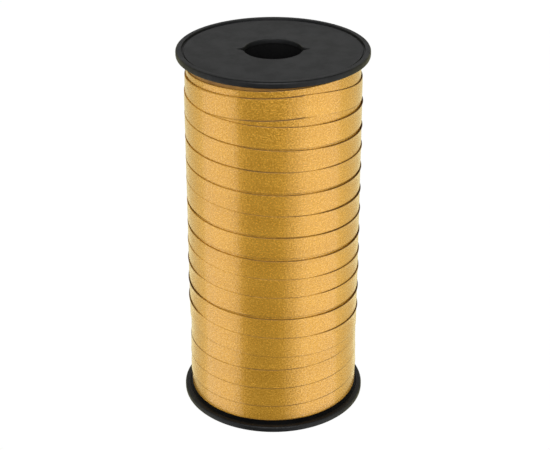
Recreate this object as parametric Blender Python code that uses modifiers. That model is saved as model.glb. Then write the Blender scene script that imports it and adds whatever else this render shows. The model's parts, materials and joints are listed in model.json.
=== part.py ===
"""A spool of narrow curling ribbon: two moulded halves that plug together, and one long strip.

The origin is at the centre of the base and +Z runs up the spool's axis. The side that faces -Y
is the front, and the ribbon's loose end is at the back. Everything is in metres.
"""

from math import cos, pi, radians, sin

import bmesh
import bpy

# The spool's overall sizes.
FLANGE_DIAMETER = 0.0420
SPOOL_HEIGHT = 0.0850

# A flange is a thin disc inside a taller rim.
RIM_HEIGHT = 0.0015
RIM_WIDTH = 0.00126
RIM_ROUNDING = 0.00040
DISC_RECESS = 0.00032
DISC_THICKNESS = 0.0010

# The hole through each disc, and the two pointed notches that a winding machine drives.
BORE_DIAMETER = 0.0126
NOTCH_WIDTH = 0.0012
NOTCH_LENGTH = 0.0016
NOTCH_TIP_WIDTH = 0.0004
NOTCH_DEPTH = 0.0030

# The centre tube. It starts a small lip outside the hole. The lower half ends in a socket, and
# the upper half in a spigot that fits it.
HOLE_LIP = 0.0005
SPIGOT_WALL = 0.0008
SOCKET_WALL = 0.0009
SPIGOT_LENGTH = 0.0120

# The ribbon as it is wound. The layer below climbs to the upper flange and turns back there,
# and the last layer comes down from it, one pitch a turn, as far as the loose end.
RIBBON_WIDTH = 0.0046
RIBBON_THICKNESS = 0.00018
TURN_GAP = 0.00033
WINDING_INSET = 0.00034  # From the rim's inner wall in to the last layer.
FLANGE_GAP = 0.00085  # From each disc to the ribbon's nearest edge.
TURN_BACK_ANGLE = -70.0

# The loose end of the ribbon, and the tape that holds it down.
LOOSE_END_HEIGHT = 0.0165
END_LENGTH = 0.0220
END_TIP_ANGLE = 120.0
TAPE_LENGTH = 0.0130
TAPE_HEIGHT = 0.0095
TAPE_THICKNESS = 0.00012
TAPE_ON_END = 0.0060

# What neighbours keep between them.
CLEARANCE = 0.0003

ROUND_STEPS = 60
TURN_STEPS = 30
ARC_STEPS = 3

# Worked out from the sizes above.
FLANGE_RADIUS = FLANGE_DIAMETER / 2
RIM_INNER_RADIUS = FLANGE_RADIUS - RIM_WIDTH
BORE_RADIUS = BORE_DIAMETER / 2
TUBE_BORE_RADIUS = BORE_RADIUS + HOLE_LIP
SPIGOT_RADIUS = TUBE_BORE_RADIUS + SPIGOT_WALL
SOCKET_RADIUS = SPIGOT_RADIUS + CLEARANCE
TUBE_RADIUS = SOCKET_RADIUS + SOCKET_WALL
SOCKET_MOUTH = SPOOL_HEIGHT / 2
SOCKET_FLOOR = SOCKET_MOUTH - SPIGOT_LENGTH - CLEARANCE
DISC_DEPTH = DISC_RECESS + DISC_THICKNESS
WINDING_RADIUS = RIM_INNER_RADIUS - WINDING_INSET
LAYER_BELOW_RADIUS = WINDING_RADIUS - RIBBON_THICKNESS - CLEARANCE
BURIED_RADIUS = LAYER_BELOW_RADIUS - RIBBON_THICKNESS - CLEARANCE
WINDING_BOTTOM = DISC_DEPTH + FLANGE_GAP
WINDING_TOP = SPOOL_HEIGHT - WINDING_BOTTOM
TURN_PITCH = RIBBON_WIDTH + TURN_GAP
TAPE_RADIUS = WINDING_RADIUS + CLEARANCE + TAPE_THICKNESS

# Angles round the axis, in degrees from +X towards +Y. The ribbon is wound that way round.
DEGREES_PER_METRE = 180 / (pi * WINDING_RADIUS)
END_ROOT_ANGLE = END_TIP_ANGLE - END_LENGTH * DEGREES_PER_METRE
LAYER_STOP_ANGLE = END_ROOT_ANGLE - CLEARANCE * DEGREES_PER_METRE
TAPE_START_ANGLE = END_TIP_ANGLE - TAPE_ON_END * DEGREES_PER_METRE

# How many turns each layer has: part of a turn, and the whole turns that fit the height.
PART_TURN = (LAYER_STOP_ANGLE - TURN_BACK_ANGLE) / 360
LAST_LAYER_DROP = WINDING_TOP - RIBBON_WIDTH - LOOSE_END_HEIGHT
LAST_LAYER_TURNS = PART_TURN + round(LAST_LAYER_DROP / TURN_PITCH - PART_TURN)
LAYER_BELOW_TURNS = (WINDING_TOP - WINDING_BOTTOM - RIBBON_WIDTH) / TURN_PITCH
LAYER_BELOW_STOP_ANGLE = TURN_BACK_ANGLE - CLEARANCE * DEGREES_PER_METRE


def clear_scene():
    for item in list(bpy.data.objects):
        bpy.data.objects.remove(item, do_unlink=True)


def new_collection(name):
    collection = bpy.data.collections.new(name)
    bpy.context.scene.collection.children.link(collection)
    return collection


def plain_material(name, colour, roughness, metallic=0.0, alpha=1.0):
    material = bpy.data.materials.new(name)
    material.use_nodes = True
    shader = material.node_tree.nodes["Principled BSDF"]
    shader.inputs["Base Color"].default_value = (*colour, 1.0)
    shader.inputs["Roughness"].default_value = roughness
    shader.inputs["Metallic"].default_value = metallic
    shader.inputs["Alpha"].default_value = alpha
    return material


def new_object(name, mesh, collection):
    item = bpy.data.objects.new(name, mesh)
    collection.objects.link(item)
    return item


def add_screw(item, steps, degrees=360.0, drop=0.0):
    """Turns the object's profile round Z, and lowers it by drop on the way."""
    screw = item.modifiers.new("turn", "SCREW")
    screw.axis = "Z"
    screw.angle = radians(degrees)
    screw.screw_offset = -drop
    screw.steps = screw.render_steps = steps
    screw.use_smooth_shade = True
    screw.use_merge_vertices = degrees == 360.0
    screw.merge_threshold = 0.00001


def turned_piece(name, profile, collection, material):
    """A closed profile of (radius, height) points, down its outer side and up its inner."""
    mesh = bpy.data.meshes.new(name)
    count = len(profile)
    edges = [(i, (i + 1) % count) for i in range(count)]
    mesh.from_pydata([(r, 0.0, z) for r, z in profile], edges, [])
    mesh.materials.append(material)
    item = new_object(name, mesh, collection)
    add_screw(item, ROUND_STEPS)
    return item


def wound_strip(name, size, radius, top, start, degrees, drop, collection, material):
    """A thin strip that bends round the axis from the start angle, and drops as it goes.

    size is its width and thickness, and radius is its outer face's. It is one upright edge
    turned round Z, made solid inwards.
    """
    width, thickness = size
    mesh = bpy.data.meshes.new(name)
    mesh.from_pydata([(radius, 0.0, top), (radius, 0.0, top - width)], [(0, 1)], [])
    mesh.materials.append(material)
    item = new_object(name, mesh, collection)
    item.rotation_euler.z = radians(start)
    add_screw(item, round(degrees / 360 * TURN_STEPS), degrees, drop)
    wall = item.modifiers.new("thickness", "SOLIDIFY")
    wall.thickness = thickness
    wall.offset = -1.0  # The wall grows inwards from the turned surface.
    return item


def arc(centre, radius, start, end):
    """Points on an arc in the (radius, height) plane, from one angle to another, in degrees."""
    angles = [radians(start + (end - start) * i / ARC_STEPS) for i in range(ARC_STEPS + 1)]
    return [(centre[0] + radius * cos(a), centre[1] + radius * sin(a)) for a in angles]


def rim_section(face, inward):
    """The rim's outline from the disc's outer face round to its inner face.

    face is the height of the rim's face that points away from the ribbon, and inward is the
    way to the ribbon: 1 is up, for the lower flange, and -1 is down, for the upper one.
    """
    corner = FLANGE_RADIUS - RIM_ROUNDING
    near = face + inward * RIM_ROUNDING
    far = face + inward * (RIM_HEIGHT - RIM_ROUNDING)
    return (
        [(RIM_INNER_RADIUS, face + inward * DISC_RECESS), (RIM_INNER_RADIUS, face)]
        + arc((corner, near), RIM_ROUNDING, -90 * inward, 0)
        + arc((corner, far), RIM_ROUNDING, 0, 90 * inward)
        + [
            (RIM_INNER_RADIUS, face + inward * RIM_HEIGHT),
            (RIM_INNER_RADIUS, face + inward * DISC_DEPTH),
        ]
    )


def lower_half_profile():
    outer = [(TUBE_RADIUS, SOCKET_MOUTH), (TUBE_RADIUS, DISC_DEPTH)]
    inner = [
        (BORE_RADIUS, DISC_RECESS),
        (BORE_RADIUS, DISC_DEPTH),
        (TUBE_BORE_RADIUS, DISC_DEPTH),
        (TUBE_BORE_RADIUS, SOCKET_FLOOR),
        (SOCKET_RADIUS, SOCKET_FLOOR),
        (SOCKET_RADIUS, SOCKET_MOUTH),
    ]
    return outer + rim_section(0.0, 1)[::-1] + inner


def upper_half_profile():
    shoulder = SOCKET_MOUTH + CLEARANCE
    disc_face = SPOOL_HEIGHT - DISC_RECESS
    disc_underside = SPOOL_HEIGHT - DISC_DEPTH
    outer = [
        (TUBE_RADIUS, disc_underside),
        (TUBE_RADIUS, shoulder),
        (SPIGOT_RADIUS, shoulder),
        (SPIGOT_RADIUS, SOCKET_MOUTH - SPIGOT_LENGTH),
    ]
    inner = [
        (TUBE_BORE_RADIUS, SOCKET_MOUTH - SPIGOT_LENGTH),
        (TUBE_BORE_RADIUS, disc_underside),
        (BORE_RADIUS, disc_underside),
        (BORE_RADIUS, disc_face),
    ]
    return rim_section(SPOOL_HEIGHT, -1) + outer + inner


def notch_outline():
    """Both notches as one outline across the bore: four copies of one tapering side."""
    side = [
        (BORE_RADIUS * 0.5, NOTCH_WIDTH / 2),
        (BORE_RADIUS + NOTCH_LENGTH * 0.25, NOTCH_WIDTH / 2),
        (BORE_RADIUS + NOTCH_LENGTH * 0.55, (NOTCH_WIDTH + NOTCH_TIP_WIDTH) / 4),
        (BORE_RADIUS + NOTCH_LENGTH, NOTCH_TIP_WIDTH / 2),
    ]
    back = side[::-1]
    return (
        [(x, -y) for x, y in side]
        + back
        + [(-x, y) for x, y in side]
        + [(-x, -y) for x, y in back]
    )


def notch_cutter(name, face, inward, cutters):
    """A prism of the notches' outline, from outside the disc's face down to the notch floor."""
    shape = bmesh.new()
    start = face - inward * CLEARANCE
    depth = inward * (NOTCH_DEPTH + CLEARANCE)
    outline = shape.faces.new([shape.verts.new((x, y, start)) for x, y in notch_outline()])
    raised = bmesh.ops.extrude_face_region(shape, geom=[outline])["geom"]
    moved = [part for part in raised if isinstance(part, bmesh.types.BMVert)]
    bmesh.ops.translate(shape, verts=moved, vec=(0, 0, depth))
    bmesh.ops.recalc_face_normals(shape, faces=shape.faces)
    mesh = bpy.data.meshes.new(name)
    shape.to_mesh(mesh)
    shape.free()
    cutter = new_object(name, mesh, cutters)
    cutter.hide_render = True
    cutter.display_type = "WIRE"
    return cutter


def cut(item, cutter):
    boolean = item.modifiers.new(cutter.name, "BOOLEAN")
    boolean.operation = "DIFFERENCE"
    boolean.solver = "EXACT"
    boolean.object = cutter


def make_spool_halves(parts, cutters, plastic):
    lower = turned_piece("lower_spool_half", lower_half_profile(), parts, plastic)
    cut(lower, notch_cutter("lower_notches", DISC_RECESS, 1, cutters))
    upper = turned_piece("upper_spool_half", upper_half_profile(), parts, plastic)
    cut(upper, notch_cutter("upper_notches", SPOOL_HEIGHT - DISC_RECESS, -1, cutters))


def make_buried_layers(parts, ribbon):
    """All the layers that don't show, as one thick ring round the tube."""
    inner = TUBE_RADIUS + CLEARANCE
    profile = [
        (BURIED_RADIUS, WINDING_TOP),
        (BURIED_RADIUS, WINDING_BOTTOM),
        (inner, WINDING_BOTTOM),
        (inner, WINDING_TOP),
    ]
    turned_piece("ribbon_buried_layers", profile, parts, ribbon)


def make_layer_below(parts, ribbon):
    """The layer under the last one. It climbs from the lower flange to the upper one."""
    degrees = LAYER_BELOW_TURNS * 360
    wound_strip(
        "ribbon_layer_below",
        (RIBBON_WIDTH, RIBBON_THICKNESS),
        LAYER_BELOW_RADIUS,
        WINDING_BOTTOM + RIBBON_WIDTH,
        LAYER_BELOW_STOP_ANGLE - degrees,
        degrees,
        -LAYER_BELOW_TURNS * TURN_PITCH,
        parts,
        ribbon,
    )


def make_last_layer(parts, ribbon):
    """The last layer of turns, laid from the upper flange down to where the loose end starts."""
    wound_strip(
        "ribbon_last_layer",
        (RIBBON_WIDTH, RIBBON_THICKNESS),
        WINDING_RADIUS,
        WINDING_TOP,
        TURN_BACK_ANGLE,
        LAST_LAYER_TURNS * 360,
        LAST_LAYER_TURNS * TURN_PITCH,
        parts,
        ribbon,
    )


def make_loose_end(parts, ribbon, tape_film):
    """The end of the strip and its tape, on an empty that stands on their hinge line."""
    hinge = bpy.data.objects.new("loose_end_hinge", None)
    angle = radians(END_ROOT_ANGLE)
    hinge.location = (WINDING_RADIUS * cos(angle), WINDING_RADIUS * sin(angle), 0.0)
    hinge.empty_display_size = TAPE_HEIGHT
    parts.objects.link(hinge)

    drop_per_degree = TURN_PITCH / 360
    end_degrees = END_TIP_ANGLE - END_ROOT_ANGLE
    end_drop = end_degrees * drop_per_degree
    end_top = WINDING_TOP - LAST_LAYER_TURNS * TURN_PITCH
    end = wound_strip(
        "ribbon_loose_end",
        (RIBBON_WIDTH, RIBBON_THICKNESS),
        WINDING_RADIUS,
        end_top,
        END_ROOT_ANGLE,
        end_degrees,
        end_drop,
        parts,
        ribbon,
    )
    tape_degrees = TAPE_LENGTH * DEGREES_PER_METRE
    tape = wound_strip(
        "tape_tab",
        (TAPE_HEIGHT, TAPE_THICKNESS),
        TAPE_RADIUS,
        end_top - end_drop - RIBBON_WIDTH / 2 + TAPE_HEIGHT / 2,
        TAPE_START_ANGLE,
        tape_degrees,
        tape_degrees * drop_per_degree,
        parts,
        tape_film,
    )
    for piece in (end, tape):
        piece.parent = hinge
        piece.location = -hinge.location


def main():
    clear_scene()
    parts = new_collection("ribbon_spool")
    cutters = new_collection("cutters")
    plastic = plain_material("black_plastic", (0.035, 0.036, 0.038), 0.45)
    buried = plain_material("buried_ribbon", (0.50, 0.26, 0.05), 0.40, 0.3)
    ribbon = plain_material("gold_ribbon", (0.62, 0.34, 0.07), 0.30, 0.5)
    tape_film = plain_material("clear_tape", (0.80, 0.78, 0.70), 0.20, 0.0, 0.35)
    make_spool_halves(parts, cutters, plastic)
    make_buried_layers(parts, buried)
    make_layer_below(parts, ribbon)
    make_last_layer(parts, ribbon)
    make_loose_end(parts, ribbon, tape_film)


main()
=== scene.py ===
# %% [markdown]
# # A spool of satin curling ribbon
#
# This lesson dresses a plain working model of a ribbon spool. The model is already there: two
# plastic halves, the wound ribbon, its loose end and a tab of tape, each a solid with its own
# place and, where it moves, its own joint. Each cell makes one piece or one finish and prints
# what it made. Everything is in metres, +Z is up the spool's axis, and -Y is the front.

# %% Load the frame
import json

import bpy
import numpy as np
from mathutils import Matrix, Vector


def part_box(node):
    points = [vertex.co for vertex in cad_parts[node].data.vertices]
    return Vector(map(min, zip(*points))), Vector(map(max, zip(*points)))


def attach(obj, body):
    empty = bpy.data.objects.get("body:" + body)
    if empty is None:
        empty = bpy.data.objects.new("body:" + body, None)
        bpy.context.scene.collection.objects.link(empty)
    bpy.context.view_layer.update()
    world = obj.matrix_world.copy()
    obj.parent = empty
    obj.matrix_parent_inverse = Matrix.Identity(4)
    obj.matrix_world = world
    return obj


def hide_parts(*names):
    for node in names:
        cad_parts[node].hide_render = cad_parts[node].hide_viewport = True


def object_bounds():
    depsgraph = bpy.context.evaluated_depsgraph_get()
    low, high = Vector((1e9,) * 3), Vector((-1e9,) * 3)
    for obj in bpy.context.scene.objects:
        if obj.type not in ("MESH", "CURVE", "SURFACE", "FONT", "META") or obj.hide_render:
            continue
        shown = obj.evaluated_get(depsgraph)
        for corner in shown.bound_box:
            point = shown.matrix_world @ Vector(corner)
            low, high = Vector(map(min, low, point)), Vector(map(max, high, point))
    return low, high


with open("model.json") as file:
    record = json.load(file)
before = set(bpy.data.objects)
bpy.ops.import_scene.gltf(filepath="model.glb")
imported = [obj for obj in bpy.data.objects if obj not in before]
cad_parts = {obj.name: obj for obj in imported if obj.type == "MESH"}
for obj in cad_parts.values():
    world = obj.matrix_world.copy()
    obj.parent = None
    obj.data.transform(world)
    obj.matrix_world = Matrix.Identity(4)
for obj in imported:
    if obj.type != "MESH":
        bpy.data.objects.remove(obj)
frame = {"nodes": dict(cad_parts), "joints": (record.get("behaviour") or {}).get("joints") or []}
cad_low, cad_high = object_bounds()
MM = 0.001
TAU = 2 * np.pi
print("frame:", sorted(frame["nodes"]), "height", round((cad_high.z - cad_low.z) / MM, 1), "mm")

# %% [markdown]
# ## Camera first
#
# A tall spool is seen from a little above, so that its top shows, and from some way off, so
# that its upright sides stay nearly parallel. The camera stands in front and looks down by
# 26.5 degrees, and a long lens of 95 mm fills its view with the spool. It aims a fraction of a
# millimetre off the spool's middle. The view transform is Standard, not a film-like one, so
# that white paper comes out white and gold stays deep.

# %% The camera
CAMERA_DISTANCE = 0.3305
CAMERA_ELEVATION = np.radians(26.52)
LENS = 95.04
AIM_RIGHT = 0.39 * MM
AIM_DOWN = 0.08 * MM
AIM = Vector((AIM_RIGHT, 0.0, cad_high.z / 2 - AIM_DOWN))

camera = bpy.data.objects.new("camera", bpy.data.cameras.new("camera"))
bpy.context.scene.collection.objects.link(camera)
camera.location = (
    0.0,
    -CAMERA_DISTANCE * np.cos(CAMERA_ELEVATION),
    cad_high.z / 2 + CAMERA_DISTANCE * np.sin(CAMERA_ELEVATION),
)
camera.rotation_euler = (AIM - camera.location).to_track_quat("-Z", "Y").to_euler()
camera.data.lens = LENS
camera.data.clip_start = 0.01
bpy.context.scene.camera = camera
bpy.context.scene.view_settings.view_transform = "Standard"
print("camera at", [round(c, 4) for c in camera.location])

# %% [markdown]
# ## From a grid of points to a mesh
#
# Every piece here is a surface with two parameters: a closed section that is carried along a
# path. All its points are worked out at once, as an array of sections by points by three. The
# helper below joins neighbours into quads. A path that comes back to its start, like a turned
# flange, is joined to itself, and one that doesn't, like a ribbon, gets a cap at each end.
# A second pair of numbers for each point, the distance along and across the strip, becomes a
# UV map, so that a pattern can follow the ribbon round the winding.


# %% Mesh helper
def surface(name, points, looped, flat_uv=None, crease=40.0):
    """A mesh from sections of points; each section is a closed ring.

    points[i, j] is point j of section i. Rings join their own ends. looped joins the last
    section to the first; otherwise a face closes each end.
    """
    sections, ring = points.shape[:2]
    index = np.arange(sections * ring).reshape(sections, ring)
    start = index if looped else index[:-1]
    after = np.roll(index, -1, axis=0) if looped else index[1:]
    quads = np.stack(
        [start, np.roll(start, -1, axis=1), np.roll(after, -1, axis=1), after], axis=-1
    ).reshape(-1, 4)
    loops = quads.ravel()
    sizes = np.full(len(quads), 4)
    if not looped:
        loops = np.concatenate([loops, index[0][::-1], index[-1]])
        sizes = np.concatenate([sizes, [ring, ring]])
    mesh = bpy.data.meshes.new(name)
    mesh.vertices.add(sections * ring)
    mesh.vertices.foreach_set("co", points.astype(np.float32).ravel())
    mesh.loops.add(len(loops))
    mesh.loops.foreach_set("vertex_index", loops.astype(np.int32))
    mesh.polygons.add(len(sizes))
    starts = np.concatenate([[0], np.cumsum(sizes)[:-1]])
    mesh.polygons.foreach_set("loop_start", starts.astype(np.int32))
    mesh.polygons.foreach_set("loop_total", sizes.astype(np.int32))
    mesh.update(calc_edges=True)
    mesh.validate()
    mesh.shade_smooth()
    mesh.set_sharp_from_angle(angle=np.radians(crease))
    if flat_uv is not None:
        layer = mesh.uv_layers.new(name="along_across")
        layer.data.foreach_set("uv", flat_uv.reshape(-1, 2)[loops].astype(np.float32).ravel())
    piece = bpy.data.objects.new(name, mesh)
    bpy.context.scene.collection.objects.link(piece)
    print(name, len(mesh.vertices), "points,", len(loops) - 2 * len(sizes), "triangles")
    return piece


def smooth_step(x):
    """0 below 0 and 1 above 1, with a level start and finish: 3x^2 - 2x^3 between."""
    x = np.clip(x, 0.0, 1.0)
    return x * x * (3 - 2 * x)


def around_axis(radius, angle, height):
    """Points from radii and heights, a row of each for every angle round the Z axis."""
    x = radius * np.cos(angle)[:, None]
    y = radius * np.sin(angle)[:, None]
    return np.stack([x, y, np.broadcast_to(height, radius.shape)], axis=-1)


# %% [markdown]
# ## Shader helper
#
# A finish is arithmetic on textures. The small class below wraps one socket, so that
# `1 - mask * 0.5` adds the Math nodes by itself. Any other node comes from `node`, which sets
# the node's settings first and then its sockets.


# %% Shader expressions
class Wire:
    """One output socket of a node tree, on which ordinary arithmetic works."""

    def __init__(self, tree, socket):
        self.tree, self.socket = tree, socket

    def node(self, kind, settings=None, out=0, **inputs):
        """A new node: settings are its own properties, inputs its sockets by name or place."""
        made = self.tree.nodes.new(kind)
        for key, value in (settings or {}).items():
            setattr(made, key, value)
        for key, value in inputs.items():
            target = made.inputs[int(key[1:])] if key[0] == "_" else made.inputs[key]
            if isinstance(value, Wire):
                self.tree.links.new(value.socket, target)
            else:
                target.default_value = value
        return Wire(self.tree, made.outputs[out])

    def math(self, operation, first, second=0.0):
        """One Math node on two values."""
        settings = {"operation": operation}
        return self.node("ShaderNodeMath", settings, _0=first, _1=second)

    def __add__(self, other):
        return self.math("ADD", self, other)

    def __sub__(self, other):
        return self.math("SUBTRACT", self, other)

    def __rsub__(self, other):
        return self.math("SUBTRACT", other, self)

    def __mul__(self, other):
        return self.math("MULTIPLY", self, other)

    def __pow__(self, other):
        return self.math("POWER", self, other)

    def __abs__(self):
        return self.math("ABSOLUTE", self)

    __radd__, __rmul__ = __add__, __mul__

    def between(self, low, high):
        """0 where the value is below low, 1 above high, and smooth between."""
        settings = {"interpolation_type": "SMOOTHSTEP"}
        return self.node("ShaderNodeMapRange", settings, _0=self, _1=low, _2=high)

    def blend(self, colour_a, colour_b):
        """Colour a where the value is 0 and colour b where it is 1."""
        settings = {"data_type": "RGBA"}
        return self.node("ShaderNodeMix", settings, 2, _0=self, _6=colour_a, _7=colour_b)

    def part(self, number):
        """The x, y or z of a vector, by number from 0."""
        return self.node("ShaderNodeSeparateXYZ", out=number, _0=self)

    def noise(self, scale, detail, roughness=0.5):
        """Noise over a vector, so many waves to a metre."""
        inputs = {"Scale": scale, "Detail": detail, "Roughness": roughness}
        return self.node("ShaderNodeTexNoise", Vector=self, **inputs)


def new_finish(name, **fixed):
    """A material with one Principled shader, its fixed sockets set, and a Wire to start from."""
    material = bpy.data.materials.new(name)
    material.use_nodes = True
    shader = material.node_tree.nodes["Principled BSDF"]
    for key, value in fixed.items():
        shader.inputs[key.replace("_", " ")].default_value = value
    return material, shader, Wire(material.node_tree, None)


def connect(shader, **wires):
    """Link wires to the shader's sockets by name, with _ for a space."""
    for key, wire in wires.items():
        wire.tree.links.new(wire.socket, shader.inputs[key.replace("_", " ")])


def rgb(red, green, blue):
    """A colour in linear light, with full alpha."""
    return (red, green, blue, 1.0)


def distance_from_axis(place):
    """How far each place is from the spool's axis: the root of x squared plus y squared."""
    x, y = place.part(0), place.part(1)
    return (x * x + y * y) ** 0.5


# %% [markdown]
# ## Black moulded plastic
#
# The spool is injection moulded in black polypropylene or styrene. It looks almost matt, but
# a soft light still draws a grey veil over it. The veil isn't even: handling leaves faint
# cloudy patches, the mould leaves a very fine grain, and the rim is rubbed a little lighter
# and smoother where it rolls on the table. Inside the bore it is made matt, and its colour is
# painted nearly black: painted shade for the deep hole.

# %% Black plastic finish
OBJECT_PLACE = 3
plastic, shader, w = new_finish("black_moulded_plastic", Specular_IOR_Level=0.22)
place = w.node("ShaderNodeTexCoord", out=OBJECT_PLACE)
clouds = place.noise(210.0, 4.0, 0.62)
grain = place.noise(5200.0, 2.0)
scuffs = place.noise(900.0, 5.0, 0.7)
from_axis = distance_from_axis(place)
rubbed = from_axis.between(20.3 * MM, 20.95 * MM) * scuffs.between(0.42, 0.62)
below_top = cad_high.z - place.part(2)
# Painted shade: deep in the bore the colour goes nearly black, and the surface goes matt.
bore_painted_shade = (1 - from_axis.between(7.3 * MM, 7.5 * MM)) * below_top.between(0.7 * MM, 1.5 * MM)
tone = clouds.between(0.3, 0.75) * 0.6 + grain.between(0.3, 0.7) * 0.25 + rubbed * 0.5
moulded = tone.blend(rgb(0.0050, 0.0053, 0.0057), rgb(0.0120, 0.0125, 0.0132))
relief = grain * 0.6 + scuffs * 0.4
connect(
    shader,
    Base_Color=bore_painted_shade.blend(moulded, rgb(0.0008, 0.0008, 0.0009)),
    Roughness=0.44 + clouds.between(0.35, 0.7) * 0.10 - rubbed * 0.08 + bore_painted_shade * 0.45,
    Normal=w.node("ShaderNodeBump", Strength=0.20, Distance=0.04 * MM, Height=relief),
)
print("finish:", plastic.name)

# %% [markdown]
# ## The spool's two halves
#
# A turned part is one outline spun round the axis. Here the outline is a list of (radius,
# height, rounding, notched) rows, and each corner is rounded off by a curve. The centre hole
# has two pointed notches, so its radius isn't the same all the way round. A second radius does
# that: it depends on the angle and rises to a point on two opposite sides, and where a row is
# marked as notched, the larger of the two is used. The angles are closer together near the
# notches, because a sine is taken off the even steps.

# %% The flange's sizes, from the frame
_, lower_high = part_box("lower_spool_half")
upper_low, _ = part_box("upper_spool_half")
FLANGE_RADIUS = cad_high.x
SPOOL_HEIGHT = cad_high.z
SOCKET_MOUTH = lower_high.z
SPIGOT_END = upper_low.z
FIT_GAP = 0.3 * MM
RIM_INNER_RADIUS = FLANGE_RADIUS - 1.26 * MM
RIM_HEIGHT = 1.5 * MM
DISC_RECESS = 0.32 * MM
DISC_DEPTH = 1.32 * MM
GROOVE_WIDTH = 0.42 * MM
GROOVE_DEPTH = 0.26 * MM
BORE_RADIUS = 6.3 * MM
TUBE_BORE_RADIUS = 6.8 * MM
SPIGOT_RADIUS = 7.6 * MM
SOCKET_RADIUS = SPIGOT_RADIUS + FIT_GAP
TUBE_RADIUS = SOCKET_RADIUS + 0.9 * MM
NOTCH_REACH = BORE_RADIUS + 1.6 * MM
NOTCH_DEPTH = 3.0 * MM
NOTCH_HALF_ANGLE = np.radians(16.0)
NOTCH_CROWDING = 0.42
print("flange radius", FLANGE_RADIUS / MM, "socket mouth", round(SOCKET_MOUTH / MM, 2))


# %% Turned surface with a notched hole
def corner(tip, before, after, radius, steps=5):
    """Points that round a corner: a quadratic curve from one side to the other.

    It starts and ends one radius from the tip, and leans on the tip in between:
    (1-t)^2 a + 2t(1-t) tip + t^2 b.
    """
    tip, before, after = (np.array(p, float) for p in (tip, before, after))
    start = tip + (before - tip) / np.linalg.norm(before - tip) * radius
    finish = tip + (after - tip) / np.linalg.norm(after - tip) * radius
    t = np.linspace(0, 1, steps + 1)[:, None]
    return (1 - t) ** 2 * start + 2 * t * (1 - t) * tip + t**2 * finish


def rounded_outline(points):
    """A closed outline of (radius, height, rounding, notched) rows, with its corners rounded."""
    rows = []
    for i, (r, z, rounding, notched) in enumerate(points):
        before, after = points[i - 1][:2], points[(i + 1) % len(points)][:2]
        place = corner((r, z), before, after, rounding) if rounding else np.array([[r, z]])
        rows.append(np.column_stack([place, np.full(len(place), float(notched))]))
    return np.vstack(rows)


def notch_radius(angle):
    """How far the notches reach at each angle: the hole, plus a spike that falls as a cube."""
    off = np.abs((angle + np.pi / 2) % np.pi - np.pi / 2)
    spike = np.clip(1 - off / NOTCH_HALF_ANGLE, 0, 1) ** 3
    return BORE_RADIUS + (NOTCH_REACH - BORE_RADIUS) * spike


def turned(name, points, steps=480):
    """An outline spun round Z; its notched points keep clear of the notches."""
    outline = rounded_outline(points)
    even = np.arange(steps) / steps
    angle = TAU * even - NOTCH_CROWDING * np.sin(2 * TAU * even)
    radius = np.broadcast_to(outline[:, 0], (steps, len(outline)))
    notch = notch_radius(angle)[:, None]
    in_hole = outline[:, 0] < TUBE_BORE_RADIUS - 0.01 * MM
    least = np.where(in_hole, notch + (outline[:, 0] - BORE_RADIUS), notch)
    radius = np.where(outline[:, 2] > 0, np.maximum(radius, least), radius)
    grid = around_axis(radius, angle, outline[:, 1])
    return surface(name, grid[::-1], looped=True, crease=32.0)


def flange_side(face, inward):
    """The rows from the disc's outer face round the rim to its inner face."""
    groove = face + inward * (DISC_RECESS + GROOVE_DEPTH)
    return [
        (RIM_INNER_RADIUS - GROOVE_WIDTH, face + inward * DISC_RECESS, 0.06 * MM, 0),
        (RIM_INNER_RADIUS - GROOVE_WIDTH + 0.04 * MM, groove, 0.06 * MM, 0),
        (RIM_INNER_RADIUS, groove, 0.06 * MM, 0),
        (RIM_INNER_RADIUS + 0.04 * MM, face, 0.07 * MM, 0),
        (FLANGE_RADIUS, face, 0.50 * MM, 0),
        (FLANGE_RADIUS, face + inward * RIM_HEIGHT, 0.50 * MM, 0),
        (RIM_INNER_RADIUS, face + inward * RIM_HEIGHT, 0.12 * MM, 0),
        (RIM_INNER_RADIUS - 0.05 * MM, face + inward * DISC_DEPTH, 0.08 * MM, 0),
    ]


def hole_side(face, inward):
    """The rows from the tube's bore, past the notches' floor, to the disc's outer face."""
    floor = face + inward * (DISC_RECESS + NOTCH_DEPTH)
    return [
        (TUBE_BORE_RADIUS, floor, 0.0, 0),
        (TUBE_BORE_RADIUS, floor, 0.0, 1),
        (TUBE_BORE_RADIUS, face + inward * DISC_DEPTH, 0.0, 1),
        (BORE_RADIUS, face + inward * DISC_DEPTH, 0.10 * MM, 1),
        (BORE_RADIUS, face + inward * DISC_RECESS, 0.22 * MM, 1),
        (BORE_RADIUS + 2.2 * MM, face + inward * DISC_RECESS, 0.0, 0),
    ]


# %% The upper half
top = SPOOL_HEIGHT
shoulder = SOCKET_MOUTH + FIT_GAP
upper_rows = (
    flange_side(top, -1)
    + [
        (TUBE_RADIUS, top - DISC_DEPTH, 0.3 * MM, 0),
        (TUBE_RADIUS, shoulder, 0.15 * MM, 0),
        (SPIGOT_RADIUS, shoulder, 0.0, 0),
        (SPIGOT_RADIUS, SPIGOT_END, 0.35 * MM, 0),
        (TUBE_BORE_RADIUS, SPIGOT_END, 0.15 * MM, 0),
    ]
    + hole_side(top, -1)
)
upper_half = turned("upper_half_moulding", upper_rows)
upper_half.data.materials.append(plastic)
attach(upper_half, "upper_half")
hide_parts("upper_spool_half")

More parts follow.
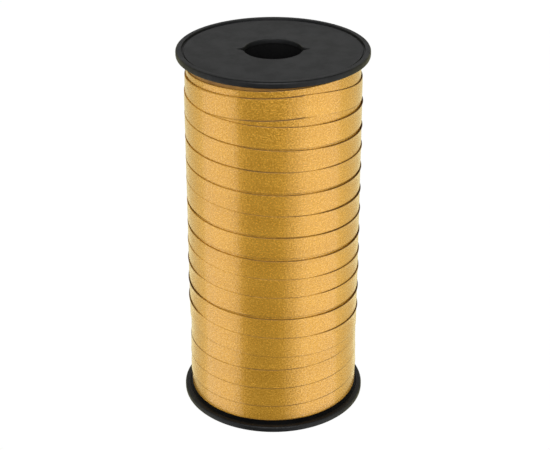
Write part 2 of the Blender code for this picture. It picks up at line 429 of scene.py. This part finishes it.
# %% The lower half
lower_rows = (
    [
        (TUBE_RADIUS, SOCKET_MOUTH, 0.15 * MM, 0),
        (TUBE_RADIUS, DISC_DEPTH, 0.3 * MM, 0),
    ]
    + flange_side(0.0, 1)[::-1]
    + hole_side(0.0, 1)[::-1]
    + [
        (TUBE_BORE_RADIUS, SPIGOT_END - FIT_GAP, 0.0, 0),
        (SOCKET_RADIUS, SPIGOT_END - FIT_GAP, 0.0, 0),
        (SOCKET_RADIUS, SOCKET_MOUTH, 0.25 * MM, 0),
    ]
)
lower_half = turned("lower_half_moulding", lower_rows)
lower_half.data.materials.append(plastic)
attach(lower_half, "wound_spool")
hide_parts("lower_spool_half")

# %% [markdown]
# ## Satin ribbon
#
# Curling ribbon is a thin film of foamed polypropylene, coloured gold with a pearl pigment.
# Three things make it look like that. The pearl flakes lie under clear film: a half metallic
# shader gives the gold sheen, and a coat adds the whiter one on top. The flakes glitter in
# fine points: two noises, a little longer along the strip than across it, move the colour, the
# coat, the roughness and the bump. And the cut edges are dull, with a dark line of painted
# shade along them for the light lost between one turn and the next.

# %% Ribbon finish
WIDTH = 5.0 * MM
THICKNESS = 0.17 * MM
# Painted shade: the dark colour along each edge stands for the shadow in the gaps between turns.
EDGE_PAINTED_SHADE = rgb(0.060, 0.022, 0.003)
GOLD_DEEP = rgb(0.560, 0.262, 0.014)
GOLD_PALE = rgb(0.860, 0.455, 0.050)


def ribbon_finish(name, shade, line_width):
    """Gold satin; shade darkens the whole strip: painted shade for ribbon deeper in the winding.

    line_width is how far the dull, dark line along each edge reaches in; its dark colour is
    painted shade. The line is faint where the edge lies tight, darker in front and at the back,
    and darkest on the right and low on the left, where the edge stands up.
    """
    material, shader, w = new_finish(name, Coat_IOR=1.72, Coat_Roughness=0.19)
    flat = w.node("ShaderNodeUVMap", {"uv_map": "along_across"})
    along, side = flat.part(0), flat.part(1)

    def strip_noise(along_waves, side_waves, detail):
        """Noise with so many waves to a metre along the strip and across it."""
        stretched = w.node("ShaderNodeCombineXYZ", _0=along * along_waves, _1=side * side_waves)
        return stretched.noise(1.0, detail, 0.6)

    glitter = strip_noise(2700.0, 3500.0, 1.0)
    flecks = strip_noise(1400.0, 2100.0, 2.0)
    streaks = strip_noise(26.0, 150.0, 3.0)
    place = w.node("ShaderNodeTexCoord", out=OBJECT_PLACE)
    sideways, upright = place.part(0), place.part(2)
    low_down = 1 - upright.between(30 * MM, 50 * MM)
    stands_right = sideways.between(7.0 * MM, 14.0 * MM)
    stands_left = (0 - sideways).between(14.5 * MM, 18.5 * MM) * low_down
    near_middle = 1 - abs(sideways).between(5.0 * MM, 9.0 * MM)
    from_edge = WIDTH / 2 - abs(side)
    line = 1 - from_edge.between(0.3 * line_width, line_width)
    # Painted shade: the edge line's darkness is set by where it is, darker in front and at the
    # back, and where the edge stands up.
    edge_shade = line * (0.36 + near_middle * 0.50 + stands_right * 0.56 + stands_left * 0.56)
    grain = glitter.between(0.38, 0.62) * 0.75 + flecks.between(0.36, 0.64) * 0.25
    tone = grain * 0.82 + streaks.between(0.3, 0.7) * 0.18
    deep, pale = (rgb(*(c * shade for c in gold[:3])) for gold in (GOLD_DEEP, GOLD_PALE))
    relief = grain + streaks * 0.2
    connect(
        shader,
        Base_Color=edge_shade.blend(tone.blend(deep, pale), EDGE_PAINTED_SHADE),
        Metallic=0.5 - line * 0.5,
        Coat_Weight=(1 - line) * (0.28 + grain * 0.72),
        Roughness=0.18 + grain * 0.11 + line * 0.5,
        Normal=w.node("ShaderNodeBump", Strength=0.75, Distance=0.04 * MM, Height=relief),
    )
    return material


# The layer below and the corner turns get darker copies of the finish: painted shade.
satin = ribbon_finish("gold_satin_ribbon", 1.0, 0.17 * MM)
satin_below = ribbon_finish("gold_satin_below", 0.98, 0.32 * MM)
satin_corner = ribbon_finish("gold_satin_corner", 0.94, 0.17 * MM)
print("finish:", satin.name, satin_below.name, satin_corner.name)

# %% [markdown]
# ## How the ribbon is wound
#
# A winding machine turns the spool and guides the ribbon up to one flange and back down to
# the other, so each layer is a helix, and the next one runs the other way. Three layers show.
# The last one turns back near the upper flange, comes down, and stops short of the lower one.
# The layer below it climbs, and shows above the last layer's first turn and below its end.
# And two turns of the layer below that fill the corner right under the upper flange.
#
# The guide isn't exact. The turns drift by a few tenths of a millimetre, so that some overlap
# and some leave a hairline gap. The drift is a sum of slow waves, not a random jump, because
# a strip can't jump.

# %% The helices
WINDING_RADIUS = 19.38 * MM
PITCH = 4.93 * MM
WINDING_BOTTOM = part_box("ribbon_buried_layers")[0].z
WINDING_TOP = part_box("ribbon_buried_layers")[1].z
TURN_BACK = np.radians(-70.0)
hinge = next(j for j in frame["joints"] if j["name"] == "loose_end_peel")
HINGE_ANGLE = np.arctan2(hinge["pos_m"][1], hinge["pos_m"][0])
LAST_TURNS = 11 + ((HINGE_ANGLE - TURN_BACK) / TAU) % 1
BELOW_TURNS = 16.45
print("last layer", round(LAST_TURNS, 3), "turns, hinge at", round(np.degrees(HINGE_ANGLE), 1))


def soft_least(a, b, softness):
    """The smaller of a and b, with the corner between them rounded off."""
    return 0.5 * (a + b - np.sqrt((a - b) ** 2 + softness**2))


def last_layer_top(turn):
    """Height of the last layer's upper edge, so many turns after the turn-back.

    A pitch below the flange, less a pitch a turn, plus three waves of drift with periods of
    22.7, 4.33 and 1.5 turns, plus what the first turn has still to come down in a seventh of
    a turn from where it turned back.
    """
    drift = (
        1.05
        + 1.04 * np.cos(TAU * (turn + 3.4) / 22.7)
        + 0.23 * np.cos(TAU * (turn - 0.16) / 4.33)
        + 0.25 * np.cos(TAU * (turn - 1.6) / 1.5)
    )
    start = 1.1 * (1 - smooth_step((turn - 0.02) / 0.14))
    return WINDING_TOP - PITCH * (turn + 1) + (drift + start) * MM


def layer_below_top(turn):
    """Height of the climbing layer's upper edge, so many turns before the turn-back.

    It meets the last layer where that turns back, and drops a pitch a turn. It falls 2 mm
    behind in the hidden part, makes that up in the lowest turns, which also lean by half a
    millimetre, and ends level on the lower flange.
    """
    behind = 2.0 * smooth_step((turn - 3) / 8)
    made_up = 1.2 * smooth_step((turn - 11.5) / 2) + 1.0 * smooth_step((turn - 14.3) / 0.8)
    tilt = 0.55 * smooth_step((turn - 9) / 2) * np.sin(TAU * (turn - 0.0556))
    free = last_layer_top(np.zeros(1)) - PITCH * turn + (made_up - behind + tilt) * MM
    return -soft_least(-free, np.full_like(free, -(WINDING_BOTTOM + WIDTH)), 0.2 * MM)


def corner_turn_top(turn):
    """Height of the turns in the corner: a pitch a turn down both ways from the flange."""
    return WINDING_TOP - 0.08 * MM - PITCH * (np.hypot(turn, 0.04) - 0.04)


# %% [markdown]
# ## A strip with real edges
#
# The strip's section is a flat ring of points: the outer face from its upper to its lower
# edge, then the inner face back. The last tenth of a millimetre at each edge rolls over, so
# an edge catches light or shade as a real one does. Where one turn overlaps the turn wound
# before it, that edge climbs, and settles again within a millimetre. On most of the winding it
# climbs by a third of the ribbon's thickness. On the right, and low down on the left too, it
# stands up by more than the thickness, and shows its cut edge, painted with a dark line of
# shade.

# %% Strip surface
UPPER_PLACES = np.array([0, 0.006, 0.016, 0.03, 0.08, 0.2, 0.4])
OUTER_PLACES = np.concatenate([UPPER_PLACES, 1 - UPPER_PLACES[::-1]])
INNER_PLACES = np.array([1, 0.7, 0.3, 0])
LYING_RISE = 0.35
SETTLE = 1.0 * MM
EDGE_ROLL = 0.05 * MM
ROLL_WIDTH = 0.11 * MM
CROWN = 0.03 * MM


def strip(name, angle, top, radius, overlap, side, rise):
    """A strip that winds round the axis.

    angle, top and radius give, section by section, where its upper edge is. overlap is how far
    it lies over its neighbour, at its upper edge (side 0) or its lower one (side 1), and rise
    is how high it climbs there. Outside the overlap the rise dies away as a smooth step. Both
    edges roll over, and the middle is crowned a little.
    """
    places = np.concatenate([OUTER_PLACES, INNER_PLACES])
    down = places[None, :] * np.ones((len(angle), 1))
    from_side = np.abs(down - side) * WIDTH
    raised = rise[:, None] * (1 - smooth_step((from_side - overlap[:, None]) / SETTLE))
    roll = EDGE_ROLL * smooth_step(1 - np.minimum(down, 1 - down) * WIDTH / ROLL_WIDTH)
    crown = CROWN * (1 - (2 * down - 1) ** 2)
    outer = np.arange(len(places)) < len(OUTER_PLACES)
    depth = np.where(outer[None, :], roll, THICKNESS)
    out = radius[:, None] + raised + crown - depth
    points = around_axis(out, angle, top[:, None] - down * WIDTH)
    step = np.hypot(np.diff(angle) * radius[1:], np.diff(top))
    length = np.concatenate([[0.0], np.cumsum(step)])
    along = np.broadcast_to(length[:, None], down.shape)
    flat_uv = np.stack([along, (0.5 - down) * WIDTH], axis=-1)
    return surface(name, points, looped=False, flat_uv=flat_uv, crease=50.0)


# %% Where edges stand up
def standing(angle, turn):
    """0 where a turn lies tight and 1 where its edge stands up; smooth steps in the angle."""
    across = np.cos(angle)
    right = smooth_step((across - 0.30) / 0.45)
    low_left = smooth_step((-across - 0.75) / 0.2) * smooth_step((turn - 6.5) / 3)
    return np.maximum(right, low_left)


# %% The last layer
SECTIONS_A_TURN = 180
LAYER_STEP = THICKNESS + 0.02 * MM
GAP_IN_TURNS = 0.002
turn = np.linspace(0.0, LAST_TURNS - GAP_IN_TURNS, int(LAST_TURNS * SECTIONS_A_TURN))
angle = TURN_BACK + TAU * turn
top_edge = last_layer_top(turn)
overlap = np.where(turn > 1, top_edge - (last_layer_top(turn - 1) - WIDTH), 0.0)
rise = THICKNESS * (LYING_RISE + standing(angle, turn)) * smooth_step((turn - 0.9) / 0.2)
radius = WINDING_RADIUS - LAYER_STEP * (1 - smooth_step(turn / 0.25))
last_layer = strip(
    "last_layer_of_ribbon", angle, top_edge, radius, np.maximum(overlap, 0), 0, rise
)
last_layer.data.materials.append(satin)
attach(last_layer, "wound_spool")
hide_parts("ribbon_last_layer")
gaps = -overlap[turn > 1.5] / MM
print("gaps between turns from", round(gaps.min(), 2), "to", round(gaps.max(), 2), "mm")

# %% The layer below
turn = np.linspace(BELOW_TURNS, 0.0, int(BELOW_TURNS * SECTIONS_A_TURN))
angle = TURN_BACK - TAU * turn
top_edge = layer_below_top(turn)
overlap = np.maximum(layer_below_top(turn + 1) - (top_edge - WIDTH), 0.0)
rise = THICKNESS * 0.6 * smooth_step((turn - 11.5) / 0.4) * smooth_step((14.75 - turn) / 0.12)
# It lies one layer down below the last layer, a tenth of a layer past that layer's end, and
# two layers down at the bottom, where its own next turn covers it.
layers_down = 1 - 0.9 * smooth_step((turn - 12.4) / 0.8) + 1.9 * smooth_step((turn - 15.2) / 0.3)
radius = WINDING_RADIUS - LAYER_STEP * layers_down
layer_below = strip("ribbon_under_last_layer", angle, top_edge, radius, overlap, 1, rise)
layer_below.data.materials.append(satin_below)
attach(layer_below, "wound_spool")
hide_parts("ribbon_layer_below")

# %% The turns in the corner
CORNER_REACH = 1.1
turn = np.linspace(-CORNER_REACH, CORNER_REACH, int(2 * CORNER_REACH * SECTIONS_A_TURN))
angle = np.radians(-45.0) + TAU * turn
zeros = np.zeros_like(turn)
radius = WINDING_RADIUS - (2.1 + 0.9 * smooth_step(-turn / 0.3)) * THICKNESS
corner_turn = strip(
    "ribbon_under_flange", angle, corner_turn_top(turn), radius, zeros, 0, zeros
)
corner_turn.data.materials.append(satin_corner)
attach(corner_turn, "wound_spool")

# %% [markdown]
# ## The buried layers
#
# Under those lie fifty-seven more. Only their cut edges ever show, and only when the halves
# are pulled apart: a disc of fine rings, no two of them quite level. The surface is one outline
# spun round the axis, and its end faces are zigzags with one ridge for each layer, each sunk
# by a little from a fixed random draw.

# %% Buried layers
RING_STEPS = 240
inner_radius = TUBE_RADIUS + 0.15 * MM
outer_radius = WINDING_RADIUS - 4 * THICKNESS - 0.10 * MM
layers = int(round((outer_radius - inner_radius) / THICKNESS))
draw = np.random.default_rng(7)
edges = np.linspace(outer_radius, inner_radius, layers + 1)
GROOVE_BETWEEN = 0.24 * MM
DEEPEST_CREST = 0.28 * MM
WANDER = 0.02 * MM


def ridged_end(level, inward):
    """(radius, height) points of one end face, from outside in: a groove, then a crest."""
    crests = (edges[:-1] + edges[1:]) / 2
    sunk = draw.uniform(0.0, DEEPEST_CREST, layers)
    rows = np.empty((2 * layers + 1, 2))
    rows[0::2, 0], rows[1::2, 0] = edges, crests
    rows[0::2, 1] = level + inward * GROOVE_BETWEEN
    rows[1::2, 1] = level + inward * sunk
    return rows


ring_rows = np.vstack([ridged_end(WINDING_TOP, -1)[::-1], ridged_end(WINDING_BOTTOM, 1)])
angle = TAU * np.arange(RING_STEPS) / RING_STEPS
wander = WANDER * np.sin(3 * angle + 1.0)[:, None]
sway = np.sin(0.37 * np.arange(len(ring_rows)))[None, :]
reach = ring_rows[:, 0][None, :] + wander * sway
grid = around_axis(reach, angle, ring_rows[:, 1])
buried = surface("buried_layers_of_ribbon", grid[::-1], looped=True, crease=20.0)
print("buried layers:", layers)

# %% Buried ribbon finish
edge_gold_painted_shade, shader, w = new_finish("ribbon_edges", Metallic=0.2)
place = w.node("ShaderNodeTexCoord", out=OBJECT_PLACE)
outward = distance_from_axis(place) * 5200.0
rings = w.node("ShaderNodeTexNoise", {"noise_dimensions": "1D"}, W=outward, Detail=1.0)
dust = place.noise(700.0, 3.0)
tone = rings.between(0.35, 0.65) * 0.7 + dust.between(0.3, 0.7) * 0.3
connect(
    shader,
    # Darker than the outer ribbon's gold: painted shade for ribbon deep in the winding under the
    # flange; the rings are the layers' own variation.
    Base_Color=tone.blend(rgb(0.22, 0.095, 0.014), rgb(0.56, 0.29, 0.055)),
    Roughness=0.50 + dust * 0.15,
)
buried.data.materials.append(edge_gold_painted_shade)
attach(buried, "wound_spool")
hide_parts("ribbon_buried_layers")
print("finish:", edge_gold_painted_shade.name)

# %% [markdown]
# ## The loose end and its tape
#
# The ribbon has to stop somewhere, and on a full spool the end is laid round the back and held
# down by a tab of clear tape. The end carries on along the last layer's helix. Tape has a
# gloss of its own, and goes a little cloudy where it isn't quite stuck. Its corners are round,
# and it sags below the end's lower edge and past its tip, by a little less than a thickness.

# %% Loose end
tip_angle = np.radians(120.0)
span = tip_angle - HINGE_ANGLE
JUST_PAST_HINGE = 0.0015
share = np.linspace(JUST_PAST_HINGE, 1.0, 70)
end_angle = HINGE_ANGLE + span * share
end_turn = LAST_TURNS + span * share / TAU
end_top = last_layer_top(end_turn)
over_last = np.maximum(end_top - (last_layer_top(end_turn - 1) - WIDTH), 0.0)
loose_end = strip(
    "loose_end_of_ribbon",
    end_angle,
    end_top,
    np.full_like(end_angle, WINDING_RADIUS),
    over_last,
    0,
    THICKNESS * (LYING_RISE + standing(end_angle, end_turn)),
)
loose_end.data.materials.append(satin)
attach(loose_end, "loose_end")
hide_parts("ribbon_loose_end")

# %% Tape tab
TAPE_LENGTH = 13.0 * MM
TAPE_HEIGHT = 9.5 * MM
TAPE_THICKNESS = 0.06 * MM
TAPE_CORNER = 1.4 * MM
TAPE_ON_RIBBON = 6.0 * MM
TAPE_LIFT = 0.13 * MM
TAPE_DROP = 0.85 * THICKNESS
SAG_START = 0.05 * MM
SAG_WIDTH = 0.5 * MM
TIP_SAG_START = 0.07 * MM
TIP_SAG_WIDTH = 0.7 * MM
near_corner = np.array([0.0, 0.006, 0.02, 0.045])
tape_share = np.concatenate([near_corner, np.linspace(0.08, 0.92, 44), 1 - near_corner[::-1]])
arc_length = tape_share * TAPE_LENGTH
tape_angle = tip_angle + (arc_length - TAPE_ON_RIBBON) / WINDING_RADIUS
into_corner = TAPE_CORNER - np.minimum(arc_length, TAPE_LENGTH - arc_length)
corner_room = np.maximum(TAPE_CORNER**2 - np.maximum(into_corner, 0.0) ** 2, 0.0)
half_height = TAPE_HEIGHT / 2 - TAPE_CORNER + np.sqrt(corner_room)
end_middle = end_top[-1] - WIDTH / 2
middle = end_middle - PITCH * (tape_angle - tip_angle) / TAU
rows_down = np.linspace(1, -1, 33)
from_middle = half_height[:, None] * rows_down[None, :]
place_z = middle[:, None] + from_middle
ribbon_turn = LAST_TURNS + (np.minimum(tape_angle, tip_angle) - HINGE_ANGLE) / TAU
strip_top = last_layer_top(ribbon_turn)[:, None]
above = smooth_step((place_z - strip_top - SAG_START) / SAG_WIDTH)
below = smooth_step((strip_top - WIDTH - place_z - SAG_START) / SAG_WIDTH)
past_tip = (tape_angle - tip_angle)[:, None] * WINDING_RADIUS
past = smooth_step((past_tip - TIP_SAG_START) / TIP_SAG_WIDTH)
tape_radius = WINDING_RADIUS + TAPE_LIFT - TAPE_DROP * np.maximum(below, past * (1 - above))
outer = around_axis(tape_radius, tape_angle, place_z)
inner = around_axis(tape_radius - TAPE_THICKNESS, tape_angle, place_z)
tape_grid = np.concatenate([outer, inner[:, ::-1]], axis=1)
up_down = np.concatenate([from_middle, from_middle[:, ::-1]], axis=1)
tape_uv = np.stack([np.broadcast_to(arc_length[:, None], up_down.shape), up_down], axis=-1)
tape = surface("clear_tape_tab", tape_grid, looped=False, flat_uv=tape_uv, crease=60.0)

clear, shader, w = new_finish("clear_tape", IOR=1.47)
flat = w.node("ShaderNodeUVMap", {"uv_map": "along_across"})
bubbles = flat.noise(420.0, 4.0, 0.6)
crinkle = flat.noise(1500.0, 2.0)
haze = bubbles.between(0.48, 0.66)
relief = bubbles + crinkle * 0.3
connect(
    shader,
    Base_Color=haze.blend(rgb(0.86, 0.83, 0.74), rgb(0.93, 0.92, 0.88)),
    Alpha=0.17 + haze * 0.20,
    Roughness=0.12 + bubbles * 0.16,
    Normal=w.node("ShaderNodeBump", Strength=0.25, Distance=0.03 * MM, Height=relief),
)
tape.data.materials.append(clear)
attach(tape, "loose_end")
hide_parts("tape_tab")
print("finish:", clear.name)

# %% [markdown]
# ## Floor and light
#
# The spool stands on plain white, so the floor is a sheet that gives its own light, and only
# the camera sees it. Satin shows what stands round it: a wall of light on the left with a sharp
# edge, one on the right that fades in, and nothing bright low in front, so the middle of the
# winding stays dark. Both walls run on round the back, where they are a warmer white and only
# graze the sides, and they reach below the floor, because a camera that looks down sees in an
# upright surface what lies below the horizon. A lamp over the camera fills the dark middle from
# above, and a panel behind draws the grey veil on the top disc.


# %% The floor
FLOOR_REACH = 12.0
FLOOR_LEVEL = -0.05 * MM
floor_mesh = bpy.data.meshes.new("white_floor")
corners = [(-1, -1), (1, -1), (1, 1), (-1, 1)]
corners = [(x * FLOOR_REACH, y * FLOOR_REACH, FLOOR_LEVEL) for x, y in corners]
floor_mesh.from_pydata(corners, [], [(0, 1, 2, 3)])
paper, shader, _ = new_finish("white_paper", Emission_Strength=1.01, Specular_IOR_Level=0.0)
shader.inputs["Base Color"].default_value = rgb(0.0, 0.0, 0.0)
shader.inputs["Emission Color"].default_value = rgb(1.0, 1.0, 1.0)
floor_mesh.materials.append(paper)
floor = bpy.data.objects.new("white_floor", floor_mesh)
floor.visible_glossy = floor.visible_diffuse = floor.visible_shadow = False
bpy.context.scene.collection.objects.link(floor)


# %% The lights
def wall_of_light(name, azimuths, elevations, distance, radiance, colour=(1.0, 1.0, 1.0)):
    """An upright panel between two azimuths and two elevations, in degrees, seen from the spool.

    Azimuth 0 is the front and 90 the right. A panel's power is pi times its area times its
    radiance, so that panels of different sizes can be compared by how bright they look.
    """
    light = bpy.data.objects.new(name, bpy.data.lights.new(name, "AREA"))
    light.data.shape = "RECTANGLE"
    a, b = np.radians(azimuths)
    low, high = np.radians(elevations)
    middle = (low + high) / 2
    light.data.size = 2 * distance * np.tan((b - a) / 2)
    light.data.size_y = 2 * distance * np.tan((high - low) / 2)
    light.data.energy = np.pi * light.data.size * light.data.size_y * radiance
    light.data.color = colour
    aim = Vector((0.0, 0.0, SPOOL_HEIGHT / 2))
    turn = (a + b) / 2
    way = (np.sin(turn) * np.cos(middle), -np.cos(turn) * np.cos(middle), np.sin(middle))
    light.location = aim + Vector(way) * distance
    light.rotation_euler = (aim - light.location).to_track_quat("-Z", "Y").to_euler()
    bpy.context.scene.collection.objects.link(light)
    return light


WARM = (1.0, 0.96, 0.58)
WALL = (-62, 40)
LOW_WALL = (-62, 6)
wall_of_light("left_wall", (-100, -48), WALL, 0.60, 1.12)
wall_of_light("left_back", (-152, -102), WALL, 0.60, 0.72, WARM)
wall_of_light("right_wall", (44, 92), WALL, 0.60, 1.15)
wall_of_light("right_back", (94, 152), WALL, 0.60, 0.70, WARM)
wall_of_light("right_fade", (30, 43), WALL, 0.61, 0.95)
wall_of_light("right_edge", (17, 29), WALL, 0.62, 0.40)
wall_of_light("left_far", (-180, -153), LOW_WALL, 0.60, 0.80, WARM)
wall_of_light("right_far", (153, 180), LOW_WALL, 0.60, 0.80, WARM)
wall_of_light("over_camera", (-25, 25), (8, 45), 0.80, 4.6)
wall_of_light("behind", (150, 210), (18, 60), 0.80, 0.80)

world = bpy.data.worlds.new("room")
world.use_nodes = True
background = world.node_tree.nodes["Background"]
background.inputs["Color"].default_value = rgb(0.93, 0.96, 1.0)
background.inputs["Strength"].default_value = 0.06
bpy.context.scene.world = world
